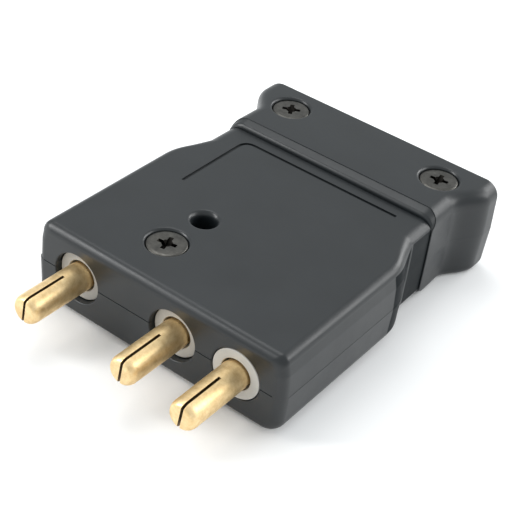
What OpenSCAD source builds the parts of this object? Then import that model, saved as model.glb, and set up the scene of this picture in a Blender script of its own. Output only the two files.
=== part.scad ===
// Stage pin plug: a flat housing in two halves, three split contact pins and a cord clamp in two halves.
// Everything is drawn with y = 0 on the front face and z = 0 on the plane where the halves part.
// The pins point along -Y, the cord leaves along +Y, and the finished plug is set down on z = 0.

/* [Housing] */
// Width across the upper half's straight sides, at the parting plane
body_w = 94.4; // [92:0.2:100]
// Front face to the seam with the cord clamp
body_l = 86.2; // [84:0.2:96]
// Parting plane to the top face
upper_h = 14.2; // [13.6:0.1:17]
// Parting plane to the bottom face
lower_h = 13.6; // [13:0.1:17]
// How far each side draws in at the waist
waist_in = 5.7; // [5:0.1:7]
// Waist curve to the seam
neck_l = 8.2; // [6:0.2:11]
// Length of the waist curve
waist_l = 21; // [16:0.5:26]
// How much each side of the neck opens again towards the seam
neck_flare = 0.5; // [0:0.1:1]
// Radius of the upper half's front upright corner on the hot side
hot_corner_r = 2.4; // [1.5:0.1:5]
// Radius of the same corner on the neutral side
neutral_corner_r = 5; // [1.5:0.1:6]
// Radius of the lower half's front upright corners
lower_corner_r = 2.5; // [1.5:0.1:5]
// Radius of the top face's edge
upper_edge_r = 3.2; // [1.5:0.1:3.6]
// Radius of the bottom face's side edges
lower_edge_r = 4.2; // [2:0.1:4.6]
// Radius of the bottom face's front edge
lower_front_r = 1.2; // [0.6:0.1:3]
// How far the upper half's sides spread below their crease
upper_lean = 0.7; // [0.2:0.1:1]
// Parting plane to that crease
crease_h = 8; // [5:0.2:9]
// How far the lower half's sides draw in towards the bottom
lower_lean = 0.4; // [0.1:0.1:0.6]
// How far the lower half stands out past the upper one
ledge = 0.5; // [0:0.1:0.8]
// Thickness of floor, roof and end walls
wall = 3.4; // [2.8:0.1:3.8]
// Thickness of the side walls
side_wall = 4.2; // [3:0.1:6]
// Solid front part that holds the contacts
block_l = 28; // [27:0.5:32]
// Small chamfer along the parting line on the sides of both halves
split_chamfer = 0.25; // [0.1:0.05:0.5]
// Depth of the V groove along the parting line on the front and rear faces
split_groove_h = 0.25; // [0.1:0.05:0.5]

/* [Contacts] */
// Sideways place of the hot pin
hot_x = -31.2; // [-32:0.1:-30]
// Hot pin to ground pin
wide_pitch = 38.1; // [36:0.1:39]
// Ground pin to neutral pin
narrow_pitch = 23.8; // [22.5:0.1:24.5]
// Diameter of the contact pins
pin_d = 9.525; // [8:0.005:11]
// Bush face to the pin's tip
pin_reach = 24.2; // [20:0.1:30]
// Depth of the undercut on the pin inside its bush
undercut = 0.2; // [0.1:0.05:0.4]
// How far that undercut shows in front of the bush
undercut_l = 0.4; // [0.2:0.1:0.8]
// Length of the rounded tip
tip_l = 2.4; // [1:0.1:3]
// Diameter of the flat end of the tip
tip_d = 6.8; // [5:0.1:7.5]
// Width of the slot that splits the pin
slot_w = 0.9; // [0.6:0.1:1.6]
// Length of the slot, from the tip
slot_l = 16; // [10:0.5:18]
// Turn of the slot from upright, in degrees
slot_turn = 7; // [0:1:90]
// How deep the hot pin's bush lies behind the front face
hot_recess = 2.2; // [0.2:0.1:3]
// How deep the ground pin's bush lies behind the front face
ground_recess = 2.2; // [0.2:0.1:3]
// How deep the neutral pin's bush lies behind the front face
neutral_recess = 0.2; // [0.2:0.1:3]
// Outer diameter of the bush
bush_d = 16.8; // [15:0.1:18]
// Length of the bush in front of its flange
bush_l = 5; // [4:0.1:6]
// Diameter of the flange that holds the bush
bush_flange_d = 19.6; // [19:0.1:20.4]
// Thickness of that flange
bush_flange_l = 2.5; // [1.5:0.1:3]
// Diameter of the flange behind the pin
flange_d = 17; // [16:0.1:18.5]
// Thickness of that flange
flange_l = 2.5; // [1.5:0.1:3]
// Diameter of the wire barrel
barrel_d = 14; // [13:0.1:15]
// Length of the wire barrel behind the flange
barrel_l = 28; // [26:0.5:31]
// Diameter of the wire hole
wire_hole_d = 8.5; // [7:0.1:9.5]
// Depth of the wire hole
wire_hole_l = 16; // [14:0.5:18]
// Diameter of the set screws
wire_screw_d = 5.4; // [4:0.1:5.6]
// How deep the set screws' tops lie in the barrel
wire_screw_sink = 0.2; // [0.1:0.1:0.5]
// Distance between the two set screws
wire_screw_pitch = 6; // [5.8:0.1:6.4]
// Rear set screw's edge to the barrel's end
wire_screw_edge = 1; // [0.8:0.1:1.2]
// How far the set screws reach into the wire hole
wire_bite = 1; // [0.5:0.1:1.5]
// Diameter of the set screws' sockets, across the corners
wire_socket_d = 2.7; // [2:0.1:3]
// Depth of those sockets
wire_socket_l = 2; // [1.5:0.1:2.2]

/* [Cord clamp] */
// How far its rear corners stand out past the housing's sides
clamp_out = 0.9; // [0:0.1:1.6]
// How far its sides stand back behind the housing's at the seam
seam_in = 0.1; // [0:0.05:0.3]
// Seam to the rear face
clamp_l = 32.6; // [31.6:0.2:40]
// How far the clamp stands above the housing's top
clamp_rise = 2.8; // [1:0.1:4]
// How far it stands below the housing's bottom
clamp_drop = 2.4; // [1:0.1:4]
// Length of the chamfer on the front edge
chamfer_l = 3.4; // [1:0.1:4.4]
// Height of that chamfer at top and bottom
chamfer_h = 2.8; // [1:0.1:3.4]
// Radius of the front edge's upper and lower corners
chamfer_edge_r = 2.4; // [1:0.1:2.5]
// Depth of that chamfer on the flanks
chamfer_side = 0.4; // [0.1:0.1:1]
// Seam to the start of the dished flank
grip_start = 12.4; // [5:0.2:12.6]
// Length of the dished flank's outward curve
grip_l = 14.2; // [10:0.1:14.6]
// Radius of the top face's side edges
clamp_upper_edge_r = 5.2; // [2.5:0.1:5.4]
// Radius of the bottom face's side edges
clamp_lower_edge_r = 2.8; // [2:0.1:5]
// Radius of the rear upright corners
clamp_corner_r = 1.5; // [1:0.1:4]
// Radius of the rear face's upper edge
clamp_upper_rear_r = 1; // [0.8:0.1:3]
// Radius of the rear face's lower edge
clamp_lower_rear_r = 3; // [0.8:0.1:4]
// How far the upper half's flanks draw in towards the top
clamp_upper_lean = 0.3; // [0.1:0.1:1]
// How far the lower half's flanks draw in towards the bottom
clamp_lower_lean = 0.6; // [0.1:0.1:1.4]
// How far the lower half stands back behind the upper one's flanks
clamp_step = 0.2; // [0:0.1:0.6]
// Diameter of the cord entry
cord_d = 20; // [16:0.5:21]
// Depth of the grip grooves in the cord entry
grip_groove = 1; // [0.5:0.1:1.4]
// Width of each grip groove, and of the land between two
grip_groove_w = 3; // [2:0.1:3.5]
// Rounding of the cord entry's mouth
cord_mouth_r = 1.5; // [0.5:0.1:2]
// Side of the clamp at the seam to the housing's tongue inside it
tongue_in = 8.9; // [7:0.1:11]
// Length of the tongue
tongue_l = 8.6; // [7.8:0.1:9]
// Height of the tongue in each half
tongue_h = 9.8; // [9:0.1:10.4]
// How far the rib at the tongue's end stands out
rib_h = 1.6; // [1:0.1:2]
// Thickness of that rib
rib_l = 3.4; // [2:0.1:4]

/* [Screws and hole] */
// Diameter of the screw shanks
screw_d = 6; // [4:0.1:6.4]
// Diameter of the screw heads
head_d = 12.7; // [11:0.1:13.2]
// Height of the screw heads
head_h = 3.4; // [2.6:0.1:3.6]
// Height of the heads' upright rim
head_rim = 2; // [1:0.1:2.4]
// Diameter of the flat on the heads
head_flat_d = 9; // [8:0.1:10]
// Length of the cross recess from end to end
cross_l = 6.6; // [5:0.1:7.5]
// Width of its arms
cross_w = 1.5; // [1:0.1:1.8]
// Depth of its arms
cross_depth = 1.9; // [1.2:0.1:2.1]
// Width of its middle at the top
cross_core_d = 4.4; // [3:0.1:4.8]
// Depth of its middle
cross_core_depth = 2.4; // [2.2:0.1:2.5]
// How deep the heads lie below the surface round them
head_sink = 1; // [0.4:0.1:1.2]
// Length of a screw below its head in the housing
body_screw_l = 17; // [14:0.5:18]
// Length of a screw below its head in the clamp
clamp_screw_l = 19; // [16:0.5:20]
// Front face to the housing screw
body_screw_y = 19; // [17:0.5:20]
// Rear corners of the clamp to its screws
clamp_screw_in = 17.5; // [16.5:0.1:22]
// Seam to the clamp screws
clamp_screw_y = 20.8; // [19.4:0.1:21.4]
// Outer diameter of the threaded inserts
insert_d = 9.5; // [8.5:0.1:10.5]
// Length of the threaded inserts
insert_l = 9; // [8:0.1:9.6]
// Diameter of the round hole through the housing
tie_hole_d = 8; // [5:0.1:8.4]
// Front face to that hole
tie_hole_y = 35.5; // [34.5:0.5:40]
// Rounding of that hole's mouths
tie_mouth_r = 1; // [0.4:0.1:1.2]
// Wall of the sleeve round that hole
sleeve_wall = 2.4; // [1.6:0.1:2.8]
// Diameter of the locating pegs
peg_d = 4; // [3:0.1:4.4]
// Height of the locating pegs
peg_h = 3; // [2:0.1:4]
// Side face to the left peg
peg_in = 4.6; // [4:0.1:5]
// Pegs to the rear of the front block
peg_back = 9; // [8:0.5:10]
// Width of the groove on the top face
line_w = 0.8; // [0.4:0.1:1.2]
// Depth of that groove
line_depth = 0.4; // [0.2:0.1:0.8]
// Side of the neck to the groove's long leg
line_in = 11; // [8:0.5:13]
// Front face to the groove's start
line_start_y = 48; // [44:0.5:60]
// Seam to the groove's cross leg
line_back = 5; // [4:0.2:8]
// Radius of the groove's corner
line_r = 3.5; // [2:0.1:6]

/* [Clearances] */
// Round a pin inside its bush
pin_gap = 0.5; // [0.2:0.05:0.8]
// Round the bushes and their flanges
bush_fit = 0.2; // [0.05:0.05:0.3]
// Round the wire barrels
barrel_fit = 0.3; // [0.1:0.05:0.4]
// In front of and behind the flanges
axial_fit = 0.1; // [0.05:0.05:0.2]
// Between tongue and clamp
tongue_fit = 0.2; // [0.05:0.05:0.3]
// Across the seam
seam_gap = 0.2; // [0.05:0.05:0.3]
// Round the screw heads
head_fit = 0.6; // [0.2:0.05:0.7]
// Round the screw shanks
shank_fit = 0.3; // [0.1:0.05:0.4]
// Round threads, inserts and pegs
close_fit = 0.05; // [0.02:0.01:0.1]

/* [Hidden] */
$fn = 64;

// Cuts run past the faces that they open by this much
over = 1;
// Grooves on the end faces stop this far before rounded corners and mouths
groove_stop = 0.3;
// Steps along a waist or grip curve, round an end, and round an edge
curve_count = 16;
end_count = 7;
edge_count = 7;

// Widths that follow the housing's
neck_w = body_w - 2 * waist_in;
clamp_w = body_w + 2 * clamp_out;
clamp_front_w = neck_w + 2 * neck_flare - 2 * seam_in;
tongue_w = clamp_front_w - 2 * tongue_in;
clamp_screw_x = clamp_w / 2 - clamp_screw_in;
line_x = neck_w / 2 - line_in;

// Places along the housing and the clamp
waist_y = body_l - neck_l;
shoulder_y = waist_y - waist_l;
cavity_end_y = body_l - wall;
clamp_y = body_l + seam_gap;
clamp_upper_h = upper_h + clamp_rise;
clamp_lower_h = lower_h + clamp_drop;
rib_y = body_l + tongue_l - rib_l;
tongue_end_y = body_l + tongue_l + tongue_fit;

// Ends of the grooves along the parting line
groove_left = max(hot_corner_r, lower_corner_r) + groove_stop - body_w / 2;
groove_right = body_w / 2 - max(neutral_corner_r, lower_corner_r) - groove_stop;
clamp_groove = clamp_w / 2 - clamp_corner_r - clamp_step - split_chamfer - groove_stop;
mouth_groove = cord_d / 2 + cord_mouth_r + groove_stop;

// Places of the contacts and what is lined up with them
ground_x = hot_x + wide_pitch;
neutral_x = ground_x + narrow_pitch;
contacts = [[hot_x, hot_recess], [ground_x, ground_recess], [neutral_x, neutral_recess]];
seat_l = bush_flange_l + flange_l + axial_fit;
barrel_end = bush_l + bush_flange_l + flange_l + barrel_l;
body_screw_x = hot_x + wide_pitch / 2;
peg_y = block_l - peg_back;
pegs = [[peg_in - body_w / 2, peg_y], [ground_x + narrow_pitch / 2, peg_y]];
sleeve_r = tie_hole_d / 2 + sleeve_wall;
line_y = body_l - line_back;

// The plug is set down with its lowest face on z = 0 and its length centred on the origin
front_y = min(hot_recess, ground_recess, neutral_recess) - pin_reach;
rear_y = clamp_y + clamp_l;
module placed() translate([0, -(front_y + rear_y) / 2, clamp_lower_h]) children();

// Smooth rise from 0 to 1 with level ends
function ease(t) = t <= 0 ? 0 : t >= 1 ? 1 : (1 - cos(180 * t)) / 2;

// How far an end rounded with radius r has drawn in at distance d from that end
function end_inset(r, d) = d >= r ? 0 : r - sqrt(r * r - (r - d) * (r - d));

// Distances from an end that sample its rounding evenly
function end_steps(r) = [for (i = [0:end_count]) r * (1 - cos(90 * i / end_count))];

function reversed(list) = [for (i = [len(list) - 1:-1:0]) list[i]];

// One side of a half's section, as [x, z]: a chamfered foot, a side that leans in up to lean_h, a rounded edge
function side(half_w, h, r, lean, lean_h) =
    let (
        upright_w = half_w - lean,
        foot = [[half_w - split_chamfer, 0], [half_w, split_chamfer]],
        bend = [upright_w, min(lean_h, h - r - split_chamfer)],
        round = [for (i = [0:edge_count]) let (a = 90 * i / edge_count)
            [upright_w - r + r * cos(a), h - r + r * sin(a)]]
    )
    concat(foot, [bend], round);

// Section of one half across the plug, its left and right side given apart
function section(left, right) = concat(right, [for (p = reversed(left)) [-p.x, p.y]]);

// Skin over sections given as [y, points], from front to rear
module loft(sections) {
    n = len(sections[0][1]);
    last = (len(sections) - 1) * n;
    points = [for (s = sections) for (p = s[1]) [p.x, s[0], p.y]];
    sides = [for (i = [0:n:last - n]) for (j = [0:n - 1])
        let (a = i + j, b = i + (j + 1) % n)
        each [[a, b, b + n], [a, b + n, a + n]]];
    front = [for (j = [n - 1:-1:0]) j];
    rear = [for (j = [0:n - 1]) last + j];
    polyhedron(points, concat([front], sides, [rear]));
}

// Sets a turned shape on a contact's axis, with its own z pointing forward
module on_axis(x, y) translate([x, y, 0]) rotate([90, 0, 0]) children();

// Widens the top of a round hole of radius r with a rounded lip, at z = 0
module lip_cut(r, lip) {
    arc = [for (a = [90:22.5:180]) [r + lip + lip * cos(a), lip * sin(a) - lip]];
    rotate_extrude() polygon(concat([[0, -lip], [0, over], [r + lip, over]], arc));
}

// V groove from left to right across an end face where the halves part
module split_groove(y, left, right) {
    across = split_groove_h * sqrt(2);
    translate([left, y, 0]) rotate([45, 0, 0]) translate([0, -across / 2, -across / 2])
        cube([right - left, across, across]);
}

// Housing halves

function housing_half_w(y) =
    neck_w / 2
    + (body_w - neck_w) / 2 * (1 - ease((y - shoulder_y) / waist_l))
    + neck_flare * max(0, (y - waist_y) / neck_l);

waist_ys = [for (i = [0:curve_count]) shoulder_y + waist_l * i / curve_count];

module upper_skin() {
    ys = concat(end_steps(max(neutral_corner_r, hot_corner_r, upper_edge_r)), waist_ys, [body_l]);
    loft([for (y = ys)
        let (half_w = housing_half_w(y), h = upper_h - end_inset(upper_edge_r, y))
        [y, section(
            side(half_w - end_inset(hot_corner_r, y), h, upper_edge_r, upper_lean, crease_h),
            side(half_w - end_inset(neutral_corner_r, y), h, upper_edge_r, upper_lean, crease_h))]]);
}

module lower_skin() {
    ys = concat(end_steps(max(lower_corner_r, lower_front_r)), waist_ys, [body_l]);
    loft([for (y = ys)
        let (
            half_w = housing_half_w(y) + ledge - end_inset(lower_corner_r, y),
            one = side(half_w, lower_h - end_inset(lower_front_r, y), lower_edge_r, lower_lean, lower_h))
        [y, section(one, one)]]);
}

// Wiring space behind the contact block, up to the roof
module wiring_space(h) {
    ys = concat([block_l], waist_ys, [cavity_end_y]);
    right = [for (y = ys) [housing_half_w(y) - side_wall, y]];
    left = [for (p = reversed(right)) [-p.x, p.y]];
    translate([0, 0, -over]) linear_extrude(h - wall + over) polygon(concat(right, left));
}

// Sleeve of the round hole, with a web to the block
module sleeve(h) {
    translate([body_screw_x, tie_hole_y, 0]) cylinder(r = sleeve_r, h = h - wall / 2);
    translate([body_screw_x - sleeve_wall, block_l - over, 0])
        cube([2 * sleeve_wall, tie_hole_y - block_l + over, h - wall / 2]);
}

// Tongue that the clamp closes round, with its rib
module tongue() {
    translate([-tongue_w / 2, cavity_end_y, 0])
        cube([tongue_w, body_l + tongue_l - cavity_end_y, tongue_h]);
    translate([-tongue_w / 2 - rib_h, rib_y, 0])
        cube([tongue_w + 2 * rib_h, rib_l, tongue_h + rib_h]);
}

// Way through the tongue for the conductors
module tongue_way() {
    translate([side_wall - tongue_w / 2, cavity_end_y - over, -over])
        cube([tongue_w - 2 * side_wall, wall + tongue_l + 2 * over, tongue_h - wall + over]);
}

// Stepped bores that hold the bushes and the contacts
module contact_bores() {
    for (c = contacts) on_axis(c[0], c[1]) {
        translate([0, 0, -bush_l]) cylinder(d = bush_d + 2 * bush_fit, h = bush_l + c[1] + over);
        translate([0, 0, -bush_l - seat_l])
            cylinder(d = bush_flange_d + 2 * bush_fit, h = seat_l + axial_fit);
        translate([0, 0, c[1] - block_l - over])
            cylinder(d = barrel_d + 2 * barrel_fit, h = block_l - c[1] - bush_l);
    }
}

// One housing half inside the skin given to it, drawn upwards from the parting plane
module housing_half(h) {
    difference() {
        union() {
            difference() {
                children();
                wiring_space(h);
            }
            sleeve(h);
            tongue();
        }
        tongue_way();
        contact_bores();
        split_groove(0, groove_left, groove_right);
        translate([body_screw_x, tie_hole_y, -over]) cylinder(d = tie_hole_d, h = h + 2 * over);
        translate([body_screw_x, tie_hole_y, h]) lip_cut(tie_hole_d / 2, tie_mouth_r);
    }
}

// Hole for a screw with a sunk head, in a half of height h
module screw_hole(h) {
    head_hole_r = head_d / 2 + head_fit;
    translate([0, 0, -over]) cylinder(d = screw_d + 2 * shank_fit, h = h);
    translate([0, 0, h - head_sink - head_h]) cylinder(r = head_hole_r, h = head_sink + head_h + over);
    translate([0, 0, h]) lip_cut(head_hole_r, head_sink / 2);
}

// Hole for a threaded insert, drawn upwards from the parting plane
module insert_hole() {
    translate([0, 0, -over]) cylinder(d = insert_d + 2 * close_fit, h = insert_l + close_fit + over);
}

// Groove on the top face: a long leg, a round corner and a cross leg
module top_line() {
    inner_r = line_r - line_w / 2;
    translate([-line_x, 0, upper_h - line_depth]) {
        translate([-line_w / 2, line_start_y, 0]) cube([line_w, line_y - line_r - line_start_y, over]);
        translate([line_r, line_y - line_w / 2, 0]) cube([2 * line_x - line_r, line_w, over]);
        translate([line_r, line_y - line_r, 0]) intersection() {
            difference() {
                cylinder(r = inner_r + line_w, h = over);
                translate([0, 0, -over]) cylinder(r = inner_r, h = 3 * over);
            }
            translate([-2 * line_r, 0, -over]) cube([2 * line_r, 2 * line_r, 3 * over]);
        }
    }
}

module upper_housing() color([0.26, 0.27, 0.28]) placed() difference() {
    housing_half(upper_h) upper_skin();
    translate([body_screw_x, body_screw_y, 0]) screw_hole(upper_h);
    top_line();
    for (p = pegs) translate([p.x, p.y, -over])
        cylinder(d = peg_d + 4 * close_fit, h = peg_h + 4 * close_fit + over);
}

module lower_housing() color([0.24, 0.25, 0.26]) placed() {
    mirror([0, 0, 1]) difference() {
        housing_half(lower_h) lower_skin();
        translate([body_screw_x, body_screw_y, 0]) insert_hole();
    }
    for (p = pegs) translate([p.x, p.y, -over]) cylinder(d = peg_d, h = peg_h + over);
}

// Cord clamp halves

// How much of the front chamfer is left at distance d from the seam
function chamfer_left(d) = max(0, 1 - d / chamfer_l);

function clamp_half_w(d) =
    clamp_front_w / 2
    + (clamp_w - clamp_front_w) / 2 * ease((d - grip_start) / grip_l)
    - chamfer_side * chamfer_left(d)
    - end_inset(clamp_corner_r, clamp_l - d);

function clamp_top(h, rear_r, d) = h - chamfer_h * chamfer_left(d) - end_inset(rear_r, clamp_l - d);

module clamp_skin(h, edge_r, rear_r, lean, step) {
    grip = [for (i = [0:curve_count]) grip_start + grip_l * i / curve_count];
    rear = [for (s = reversed(end_steps(max(clamp_corner_r, rear_r)))) clamp_l - s];
    loft([for (d = concat([0, chamfer_l], grip, rear))
        let (
            r = edge_r + (chamfer_edge_r - edge_r) * chamfer_left(d),
            one = side(clamp_half_w(d) - step, clamp_top(h, rear_r, d), r, lean, h))
        [clamp_y + d, section(one, one)]]);
}

// Space for the housing's tongue and its rib
module tongue_space() {
    inner = tongue_w + 2 * tongue_fit;
    translate([-inner / 2, clamp_y - over, -over])
        cube([inner, tongue_end_y - clamp_y + over, tongue_h + tongue_fit + over]);
    translate([-inner / 2 - rib_h, rib_y - tongue_fit, -over])
        cube([inner + 2 * rib_h, rib_l + 2 * tongue_fit, tongue_h + rib_h + tongue_fit + over]);
}

// Cord entry with grip grooves and a rounded mouth
module cord_entry() {
    on_axis(0, rear_y + over) cylinder(d = cord_d, h = rear_y - tongue_end_y + 2 * over);
    for (i = [1:3]) on_axis(0, tongue_end_y + 2 * i * grip_groove_w)
        cylinder(d = cord_d + 2 * grip_groove, h = grip_groove_w);
    translate([0, rear_y, 0]) rotate([-90, 0, 0]) lip_cut(cord_d / 2, cord_mouth_r);
}

// One clamp half inside the skin given to it, drawn upwards from the parting plane
module clamp_half() {
    difference() {
        children();
        tongue_space();
        cord_entry();
        split_groove(rear_y, -clamp_groove, -mouth_groove);
        split_groove(rear_y, mouth_groove, clamp_groove);
    }
}

module upper_cord_clamp() color([0.27, 0.28, 0.29]) placed() difference() {
    clamp_half() clamp_skin(clamp_upper_h, clamp_upper_edge_r, clamp_upper_rear_r, clamp_upper_lean, 0);
    for (x = [-clamp_screw_x, clamp_screw_x])
        translate([x, body_l + clamp_screw_y, 0]) screw_hole(clamp_upper_h);
}

module lower_cord_clamp() color([0.25, 0.26, 0.27]) placed() mirror([0, 0, 1]) difference() {
    clamp_half() clamp_skin(
        clamp_lower_h, clamp_lower_edge_r, clamp_lower_rear_r, clamp_lower_lean, clamp_step);
    for (x = [-clamp_screw_x, clamp_screw_x])
        translate([x, body_l + clamp_screw_y, 0]) insert_hole();
}

// Contacts, each turned from one bar

// Places of the set screws along a contact, behind its bush face
screw_back = barrel_end - wire_screw_d / 2 - wire_screw_edge;
wire_screws = [screw_back, screw_back - wire_screw_pitch];
wire_screw_l = (barrel_d - wire_hole_d) / 2 + wire_bite - wire_screw_sink;

module contact(x, recess) {
    flange_z = -bush_l - bush_flange_l;
    root_r = pin_d / 2 - undercut;
    tip = [for (i = [0:4]) let (a = 90 * i / 4)
        [tip_d / 2 + (pin_d - tip_d) / 2 * cos(a), pin_reach - tip_l + tip_l * sin(a)]];
    profile = concat(
        [[0, -barrel_end], [barrel_d / 2, -barrel_end], [barrel_d / 2, flange_z - flange_l],
         [flange_d / 2, flange_z - flange_l], [flange_d / 2, flange_z],
         [root_r, flange_z], [root_r, undercut_l], [pin_d / 2, undercut_l]],
        tip,
        [[0, pin_reach]]
    );
    color([0.8, 0.63, 0.32]) placed() on_axis(x, recess) difference() {
        rotate_extrude() polygon(profile);
        rotate([0, 0, -slot_turn]) translate([-slot_w / 2, -pin_d, pin_reach - slot_l])
            cube([slot_w, 2 * pin_d, slot_l + over]);
        translate([0, 0, -barrel_end - over]) cylinder(d = wire_hole_d, h = wire_hole_l + over);
        for (z = wire_screws) translate([0, 0, -z]) rotate([-90, 0, 0])
            cylinder(d = wire_screw_d + 2 * close_fit, h = barrel_d);
    }
}

// Light grey collar that closes the housing round a pin
module bush(x, recess) {
    inner_r = pin_d / 2 + pin_gap;
    profile = [
        [inner_r, -bush_l - bush_flange_l], [bush_flange_d / 2, -bush_l - bush_flange_l],
        [bush_flange_d / 2, -bush_l], [bush_d / 2, -bush_l], [bush_d / 2, 0], [inner_r, 0]
    ];
    color([0.67, 0.66, 0.63]) placed() on_axis(x, recess) rotate_extrude() polygon(profile);
}

// Two socket set screws that reach into the wire hole from above
module set_screws(x, recess) {
    color([0.45, 0.43, 0.4]) placed() for (back = wire_screws)
        translate([x, recess + back, wire_hole_d / 2 - wire_bite]) difference() {
            cylinder(d = wire_screw_d, h = wire_screw_l);
            translate([0, 0, wire_screw_l - wire_socket_l])
                cylinder(d = wire_socket_d, h = wire_socket_l + over, $fn = 6);
        }
}

module hot_pin() contact(hot_x, hot_recess);
module ground_pin() contact(ground_x, ground_recess);
module neutral_pin() contact(neutral_x, neutral_recess);
module hot_pin_bush() bush(hot_x, hot_recess);
module ground_pin_bush() bush(ground_x, ground_recess);
module neutral_pin_bush() bush(neutral_x, neutral_recess);
module hot_wire_screws() set_screws(hot_x, hot_recess);
module ground_wire_screws() set_screws(ground_x, ground_recess);
module neutral_wire_screws() set_screws(neutral_x, neutral_recess);

// Screws and inserts

// Cross recess cut into a head's top, at z = 0
module cross_recess() {
    for (a = [0, 90]) rotate(a) translate([-cross_l / 2, -cross_w / 2, -cross_depth])
        cube([cross_l, cross_w, cross_depth + over]);
    translate([0, 0, -cross_core_depth]) cylinder(d1 = cross_w, d2 = cross_core_d, h = cross_core_depth);
}

// Screw with a shallow domed head, its seat at z = 0
module cross_screw(x, y, h, shank_l) {
    dome = [for (i = [0:4]) let (a = 90 * i / 4)
        [head_flat_d / 2 + (head_d - head_flat_d) / 2 * cos(a), head_rim + (head_h - head_rim) * sin(a)]];
    profile = concat(
        [[0, -shank_l], [screw_d / 2, -shank_l], [screw_d / 2, 0], [head_d / 2, 0]], dome, [[0, head_h]]);
    color([0.3, 0.28, 0.26]) placed() translate([x, y, h - head_sink - head_h]) difference() {
        rotate_extrude() polygon(profile);
        translate([0, 0, head_h]) cross_recess();
    }
}

// Threaded insert that fills its hole to the parting plane
module insert(x, y) color([0.76, 0.6, 0.33]) placed() translate([x, y, -insert_l - close_fit]) difference() {
    cylinder(d = insert_d, h = insert_l);
    translate([0, 0, -over]) cylinder(d = screw_d + 2 * close_fit, h = insert_l + 2 * over);
}

module body_screw() cross_screw(body_screw_x, body_screw_y, upper_h, body_screw_l);
module body_screw_insert() insert(body_screw_x, body_screw_y);
module left_clamp_screw() cross_screw(-clamp_screw_x, body_l + clamp_screw_y, clamp_upper_h, clamp_screw_l);
module right_clamp_screw() cross_screw(clamp_screw_x, body_l + clamp_screw_y, clamp_upper_h, clamp_screw_l);
module left_clamp_insert() insert(-clamp_screw_x, body_l + clamp_screw_y);
module right_clamp_insert() insert(clamp_screw_x, body_l + clamp_screw_y);

upper_housing();
lower_housing();
upper_cord_clamp();
lower_cord_clamp();
hot_pin();
ground_pin();
neutral_pin();
hot_pin_bush();
ground_pin_bush();
neutral_pin_bush();
hot_wire_screws();
ground_wire_screws();
neutral_wire_screws();
body_screw();
body_screw_insert();
left_clamp_screw();
right_clamp_screw();
left_clamp_insert();
right_clamp_insert();
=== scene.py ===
# Stage pin plug: a flat moulded housing in two halves, three split contact pins and a screwed cord clamp.
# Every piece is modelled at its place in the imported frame, in metres, with +Z up and the pins along -Y.
import math

import bmesh
import bpy
from mathutils import Matrix, Vector


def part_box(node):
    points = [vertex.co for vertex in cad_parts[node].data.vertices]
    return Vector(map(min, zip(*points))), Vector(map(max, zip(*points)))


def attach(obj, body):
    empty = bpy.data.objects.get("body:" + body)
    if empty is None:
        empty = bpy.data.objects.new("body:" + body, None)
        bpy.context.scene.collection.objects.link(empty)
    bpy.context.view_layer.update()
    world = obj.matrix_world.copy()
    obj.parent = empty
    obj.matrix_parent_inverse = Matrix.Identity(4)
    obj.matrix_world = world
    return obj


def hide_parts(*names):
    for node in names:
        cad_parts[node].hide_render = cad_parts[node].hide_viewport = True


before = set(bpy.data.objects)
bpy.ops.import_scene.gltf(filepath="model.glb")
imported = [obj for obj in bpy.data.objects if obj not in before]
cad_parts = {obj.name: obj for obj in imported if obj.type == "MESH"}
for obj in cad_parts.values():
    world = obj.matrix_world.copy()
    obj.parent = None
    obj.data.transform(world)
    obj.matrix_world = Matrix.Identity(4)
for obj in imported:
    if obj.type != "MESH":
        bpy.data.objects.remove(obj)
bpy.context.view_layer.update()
mm = 0.001


# Housing halves
# Two shells of dark blue-grey thermoplastic, moulded and screwed together on the plane of the pin axes.
# Behind a solid front block they are hollow for the wiring, and a ribbed tongue goes into the cord clamp.
upper_low, upper_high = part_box("upper_housing")
lower_low, lower_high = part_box("lower_housing")
clamp_low, clamp_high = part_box("upper_cord_clamp")
front_y = upper_low.y
split_z = upper_low.z
body_half = lower_high.x
upper_h = upper_high.z - split_z
lower_h = split_z - lower_low.z
seam_gap = 0.2 * mm
seam_y = clamp_low.y - seam_gap

# Edges and sides of the halves; pairs are for the hot side and the neutral side
upper_corner_rs = (2.4 * mm, 2.9 * mm)
lower_corner_rs = (2.5 * mm, 3.4 * mm)
upper_edge_r = 3.2 * mm
lower_edge_r = 4.2 * mm
lower_front_r = 1.2 * mm
housing_foot_r = 0.02 * mm
ledges = (0.5 * mm, 0.06 * mm)
upper_inset = 1.2 * mm
lower_lean = 0.4 * mm
crease_h = 8 * mm
crease_soft = 0.35 * mm
lean_below_crease = 0.35

# The waist, where the sides draw in, and the neck between it and the clamp
waist_l = 18 * mm
waist_rise_l = 9 * mm
waist_turn_l = 1.5 * mm
waist_start_slope = 0.06
waist_end_slope = 0.39
neck_l = 10.7 * mm
neck_slope = 0.015
neck_lean = 0.1 * mm
neck_edge_r = 5 * mm
neck_edge_start = math.radians(33)
lower_neck_edge_r = 1.5 * mm
shoulder_y = seam_y - neck_l - waist_l

# Walls, and the tongue at the rear
wall = 3.4 * mm
side_wall = 4.2 * mm
block_l = 28 * mm
tongue_half = 33 * mm
tongue_h = 9.8 * mm
tongue_end_y = upper_high.y
rib_h = 1.6 * mm
rib_l = 3.4 * mm

# How far cutters reach past a face, and how finely curves are divided
over = 1 * mm
merge_distance = 0.0005 * mm
round_steps = 10
foot_steps = 4
lip_steps = 8
curve_steps = 32
waist_turn_steps = 6
turn_steps = 96
smooth_limit = math.radians(35)


def ease(t):
    """Smooth rise from 0 to 1 with level ends."""
    return (1 - math.cos(math.pi * min(max(t, 0.0), 1.0))) / 2


def drawn_in(radius, distance):
    """How far an end rounded with that radius has drawn in, at a distance from the end."""
    return 0.0 if distance >= radius else radius - math.sqrt(radius ** 2 - (radius - distance) ** 2)


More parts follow.
